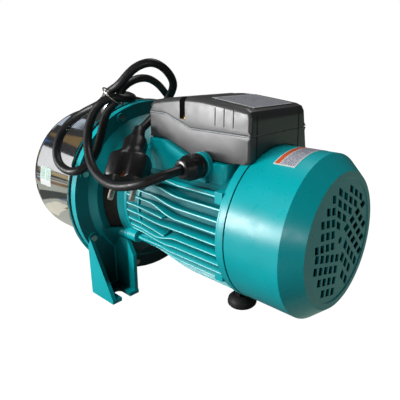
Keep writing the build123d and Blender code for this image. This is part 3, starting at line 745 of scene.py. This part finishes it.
# The rounding at each point of a half: small near the seam, and one value at the rear corner
def roundingsOf(outline, side, rearFrom, other):
    box = terminalBox
    off = side * (outline[:, 1] - np.interp(outline[:, 0], *zip(*sorted(box["seam"]))))
    margin = box["seamMargin"][0 if side > 0 else 1]
    away = np.where(outline[:, 0] > rearFrom, box["rearRounding"], other)
    return np.where(off > margin, away, box["seamRounding"])


# The narrow grooves down the rear face between two heights
def rearGrooves(low, high):
    (front, back), half = terminalBox["rearGrooveStations"], terminalBox["rearGrooveHalf"]
    return [boxPart((front, y - half, low), (back, y + half, high)) for y in terminalBox["rearGrooves"]]


def boxHalves():
    box = terminalBox
    cover = subdivided(box["seam"] + box["crown"], 3.0)
    rounding = roundingsOf(cover, 1, box["rearFrom"][0], box["topRounding"])
    lid = makePiece("boxCover", *slabPart(cover, rounding), "boxPlastic", "box_plastic")
    base = subdivided(box["floor"] + [(x, z - box["lipDepths"][1]) for x, z in box["seam"]], 3.0)
    rounding = roundingsOf(base, -1, box["rearFrom"][1], box["floorRounding"])
    tray = makePiece("boxBase", *slabPart(base, rounding), "boxPlastic", "box_plastic")
    slots = [boxPart(low, high) for low, high in box["screwSlots"]]
    bottom, top = box["ribHeights"]
    for x in box["ribStations"]:
        for near, far in box["ribRanges"]:
            slots.append(boxPart((x - box["ribHalf"], near, bottom), (x + box["ribHalf"], far, top)))
    inLid, inTray = box["rearGrooveHeights"]
    carved(lid, slots + rearGrooves(*inLid))
    carved(tray, [barPart(box["coverSeat"], 0, 0, 96)] + rearGrooves(*inTray))
    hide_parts("terminal_box_cover")
    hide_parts("terminal_box_base")
    # the raised lip of the tray that shows in the parting groove
    (rear, front), (upper, lower) = box["lipEnds"], box["lipDepths"]
    line = [(rear, box["seam"][0][1]), *box["seam"][1:3], (front, box["seam"][3][1])]
    lip = subdivided([(x, z - upper) for x, z in line] + [(x, z - lower) for x, z in line[::-1]], 4.0)
    points, faces = slabPart(lip, np.full(len(lip), box["lipRounding"]))
    points[:, 1] *= np.where(points[:, 1] < 0, *box["lipFactors"])
    makePiece("boxLip", points, faces, "lipPlastic", "box_plastic")


# --- Painted shade in the lantern ------------------------------------------------
# A near-black sheet of painted shade in the open space behind the pump wall, in place of its deep shade
def lanternShadeSheet():
    turnedPiece("lanternShadeSheet", [(5.1, 26.5), (5.1, 75.0), (5.6, 75.0), (15.6, 68.6), (30.4, 58.6),
                                  (30.4, 24.5), (30.1, 24.5), (30.1, 58.2), (15.4, 68.2), (5.9, 74.4),
                                  (5.9, 26.5)], "paintedShadeBlack", "teal_paint")


# --- Mains plug ------------------------------------------------------------------
plug = {
    "top": (54, -51, 174.3),
    "face": (76, -85, 135.3),
    "across": (0.778, 0.629, 0),
    # distance along the plug, half width, half thickness, squareness, depth of the two grooves
    "sections": [(-4, 4.6, 4.6, 2.0, 0), (-3.4, 5.2, 5.2, 2.0, 0), (4, 6.2, 6.0, 2.0, 0),
                 (9, 7.2, 6.6, 2.2, 0),
                 (9.6, 9.4, 8.6, 2.4, 0), (14, 11.0, 10.2, 2.6, 0.6), (22, 10.6, 10.0, 2.6, 0.8),
                 (26, 11.6, 10.4, 2.6, 0.8), (29.5, 15.6, 12.6, 2.8, 1.2), (32, 18.2, 14.4, 3.0, 2.6),
                 (34, 18.6, 14.8, 3.0, 3.4), (54.2, 18.6, 14.8, 3.0, 3.4), (55.8, 17.6, 13.8, 3.0, 3.0)],
    "grooveWidth": 0.2,         # as a part of the half width
    # earth contacts: where they start and end along the plug, half width, inner and outer face
    "contactEnds": (50.5, 55.9),
    "contactHalf": 1.9,
    "contactFaces": (9.0, 11.7),
}


# The top of the plug, and its directions: along it, across its broad side, through it
def plugFrame():
    top, face = Vector(plug["top"]), Vector(plug["face"])
    along = (face - top).normalized()
    across = Vector(plug["across"])
    across = (across - along * across.dot(along)).normalized()
    return top, along, across, along.cross(across)


# Superellipse sections along the plug, pinched by a groove in the middle of both broad sides:
# its depth falls off as the exponential of minus the fourth power of the distance
def plugBody():
    top, along, across, thick = (np.array(v) for v in plugFrame())
    a = np.linspace(0, 2 * math.pi, 96, endpoint=False)
    rows = []
    for s, wide, deep, power, groove in plug["sections"]:
        x = wide * np.sign(np.cos(a)) * np.abs(np.cos(a)) ** (2 / power)
        y = deep * np.sign(np.sin(a)) * np.abs(np.sin(a)) ** (2 / power)
        pinch = groove * np.exp(-((x / wide / plug["grooveWidth"]) ** 4))
        y = y - np.sign(y) * np.minimum(pinch, np.abs(y))
        rows.append(top + s * along + x[:, None] * across + y[:, None] * thick)
    count = len(a)
    faces = gridFaces(len(rows), count)
    faces += [tuple(range(count))[::-1], tuple((len(rows) - 1) * count + i for i in range(count))]
    body = makePiece("plugBody", np.concatenate(rows), faces, "mouldedBlack", "black_plastic", sharp=50)
    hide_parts("plug_body")
    strips = []
    for side in (-1, 1):
        points = []
        for s in plug["contactEnds"]:
            for x in (-plug["contactHalf"], plug["contactHalf"]):
                for y in plug["contactFaces"]:
                    points.append(top + s * along + x * across + side * y * thick)
        strips.append((points, boxPart((0, 0, 0), (1, 1, 1))[1]))
    contacts = makePiece("earthContacts", *gathered(strips), "copperWire", "copper", bevel=0.3)
    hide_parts("plug_earth_contacts")
    return body, contacts


# --- Rear foot -------------------------------------------------------------------
foot = {
    "station": 141,
    # (z, radius) from the bottom of the bore, up the outside and back down the bore
    "profile": [(0, 5), (0, 12.4), (0.8, 13.6), (2.2, 14.8), (3.6, 15.0), (5.0, 14.9), (5.6, 14.2),
                (6.2, 14.5), (7.4, 14.1), (10.2, 11.2), (11.6, 9.4), (12, 8.6), (12, 7.2), (9, 6.6), (9, 5)],
}


# A rubber foot turned about its own upright axis
def rearFoot():
    steps = 96
    around = np.linspace(0, 2 * math.pi, steps, endpoint=False)
    rows = [np.stack([foot["station"] + r * np.cos(around), r * np.sin(around), np.full(steps, z)], 1)
            for z, r in foot["profile"]]
    pad = makePiece("rubberFoot", np.concatenate(rows), gridFaces(len(rows), steps, closedRows=True),
                    "rubberBlack", "black_rubber", bevel=0.3)
    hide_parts("foot_pad")


rearFoot()
boxHalves()
lanternShadeSheet()
plugPieces = plugBody()
print("box and plug built")


# --- Stage -----------------------------------------------------------------------
# A flat card that glows: seen is False for a reflector that only shows in glossy surfaces
def stageCard(name, corners, colour, glow, seen=True):
    mesh = bpy.data.meshes.new(name)
    mesh.from_pydata(corners, [], [list(range(len(corners)))])
    piece = bpy.data.objects.new(name, mesh)
    bpy.context.collection.objects.link(piece)
    material = bpy.data.materials.new(name)
    material.use_nodes = True
    shader = material.node_tree.nodes["Principled BSDF"]
    shader.inputs["Base Color"].default_value = linear("#505050") if seen else (0, 0, 0, 1)
    shader.inputs["Roughness"].default_value = 1.0
    shader.inputs["Specular IOR Level"].default_value = 0.0
    shader.inputs["Emission Color"].default_value = linear(colour)
    shader.inputs["Emission Strength"].default_value = glow
    mesh.materials.append(material)
    if not seen:
        piece.visible_camera = False
        piece.visible_diffuse = False
        piece.visible_shadow = False
    return piece


stage = {
    "floorHalf": 12.0,
    "floorGlow": 1.0,           # what the floor shows of its own light
    "floorBounce": 0.05,        # what of that light reaches the pump
    "tableGlow": 0.5,           # light thrown up at the gland side by a bright table
    "table": (-200, -800, 400, -180, 0.4),      # station and y of two opposite corners, height
    "ambient": 0.05,
    "reflectorDistance": 1.6,
    # azimuth and height of the middle in degrees, width and height in degrees, colour, glow
    "standing": {
        "cardWhite": (-153, 8, 16, 16, "#FFFFFF", 1.0),
        "cardBlue": (-166, 14, 10, 12, "#5F86C0", 0.8),
        "cardYellow": (-172, 4, 7, 8, "#D9C565", 0.9),
        "cardTan": (-160, 28, 16, 10, "#A98E66", 0.6),
        "cardSky": (-148, 22, 10, 8, "#8FB0D8", 0.9),
        "cardInk": (-163, 2, 5, 6, "#2C3136", 0.5),
        "cardSand": (-149, -3, 8, 5, "#CDB98E", 0.8),
        "cardPale": (176, 24, 14, 12, "#C9D4E4", 0.9),
    },
    # station and y of two opposite corners in mm, colour, glow
    "lying": {
        "rugPale": (-900, -900, -330, -330, "#DADBD6", 0.8),
        "rugTan": (-620, -420, -470, -240, "#B59670", 0.6),
        "rugBlue": (-900, -330, -560, -120, "#6C86B4", 0.6),
        "rugSlate": (-700, -700, -520, -450, "#7F92A8", 0.8),
        "rugSand": (-500, -560, -400, -400, "#C9BEA4", 0.8),
        "rugInk": (-420, -400, -330, -300, "#3A4044", 0.6),
        "rugCream": (-560, -250, -430, -150, "#E6E3D8", 0.9),
        "rugOlive": (-820, -520, -700, -330, "#8C8468", 0.7),
        "rugNear": (-480, -900, -60, -300, "#B4B9AC", 0.8),
        "rugUnder": (-480, -300, -110, 60, "#C4C7BB", 0.9),
        "patchBlue": (-300, -240, -230, -150, "#7E93AE", 0.8),
        "patchCream": (-230, -130, -180, -60, "#EFEAD8", 1.0),
        "patchInk": (-430, -170, -350, -60, "#3E464C", 0.5),
        "patchTan": (-190, -200, -150, -110, "#B99A6C", 0.7),
        "rugDark": (-330, -1500, -250, -100, "#6F7672", 0.5),
        "rugShade": (210, -60, 1500, 1500, "#B4CDBA", 0.75),
        "rugBehind": (-1400, 260, 200, 1500, "#2A2A28", 0.6),
        "rugFront": (-200, -1500, 210, -330, "#8E8B86", 0.8),
    },
}
half = stage["floorHalf"]
floor = stageCard("floor", [(-half, -half, 0), (half, -half, 0), (half, half, 0), (-half, half, 0)],
                  "#FFFFFF", stage["floorGlow"])
tree = floor.data.materials[0].node_tree
seenByCamera = addNode(tree, "ShaderNodeLightPath").outputs["Is Camera Ray"]
glow = addNode(tree, "ShaderNodeMapRange", {
    "Value": seenByCamera, "To Min": stage["floorBounce"], "To Max": stage["floorGlow"],
}).outputs["Result"]
tree.links.new(glow, tree.nodes["Principled BSDF"].inputs["Emission Strength"])

# Cards on a sphere round the pump, and rugs just over the floor
for name, (azimuth, height, wide, tall, colour, glow) in stage["standing"].items():
    corners = []
    away = stage["reflectorDistance"]
    for i, j in ((-1, -1), (1, -1), (1, 1), (-1, 1)):
        a = math.radians(azimuth + i * wide / 2)
        e = math.radians(height + j * tall / 2)
        corners.append((away * math.cos(e) * math.cos(a), away * math.cos(e) * math.sin(a),
                        shaftZ * mm + away * math.sin(e)))
    stageCard(name, corners, colour, glow, seen=False)
for layer, (name, (x0, y0, x1, y1, colour, glow)) in enumerate(stage["lying"].items()):
    z = 0.6 + 0.15 * layer
    stageCard(name, [at(x0, y0, z), at(x1, y0, z), at(x1, y1, z), at(x0, y1, z)], colour, glow, seen=False)
x0, y0, x1, y1, z = stage["table"]
table = stageCard("tableGlow", [at(x0, y0, z), at(x1, y0, z), at(x1, y1, z), at(x0, y1, z)],
                  "#FFFFFF", stage["tableGlow"], seen=False)
table.visible_diffuse = True        # unlike the other cards, it also lights the pump


# Azimuth and height in degrees, distance in m, width and height in m, power in W
lights = {
    "keyLight": (-124, 8, 1.2, (0.46, 0.36), 13),
    "skyLight": (-105, 48, 1.3, (0.8, 0.5), 11),
    "sideLight": (-36.5, 7.6, 1.2, (0.13, 0.13), 0.9),
    "topLight": (100, 70, 1.1, (0.5, 0.5), 3.5),
}
lightTarget = Vector((0.03, 0, 0.1))


# An area light turned to face the pump
def softLight(name, azimuth, height, distance, side, power):
    data = bpy.data.lights.new(name, "AREA")
    data.shape = "RECTANGLE"
    data.size, data.size_y = side
    data.energy = power
    light = bpy.data.objects.new(name, data)
    bpy.context.collection.objects.link(light)
    a, e = math.radians(azimuth), math.radians(height)
    away = Vector((math.cos(e) * math.cos(a), math.cos(e) * math.sin(a), math.sin(e)))
    light.location = lightTarget + distance * away
    light.rotation_euler = (-away).to_track_quat("-Z", "Y").to_euler()
    light.visible_camera = False
    light.visible_glossy = name != "skyLight"      # the sky light shows in no reflection


for name, setting in lights.items():
    softLight(name, *setting)

# The background is dim for the pump and white for the camera
world = bpy.data.worlds.new("studio")
bpy.context.scene.world = world
world.use_nodes = True
tree = world.node_tree
background = tree.nodes["Background"]
background.inputs["Color"].default_value = (1, 1, 1, 1)
background.inputs["Strength"].default_value = stage["ambient"]
backdrop = addNode(tree, "ShaderNodeBackground", {"Color": (1, 1, 1, 1), "Strength": 1.0})
seen = addNode(tree, "ShaderNodeLightPath").outputs["Is Camera Ray"]
both = addNode(tree, "ShaderNodeMixShader", {0: seen, 1: background.outputs[0], 2: backdrop.outputs[0]})
tree.links.new(both.outputs[0], tree.nodes["World Output"].inputs["Surface"])
bpy.context.scene.view_settings.view_transform = "Standard"
print("stage lit")
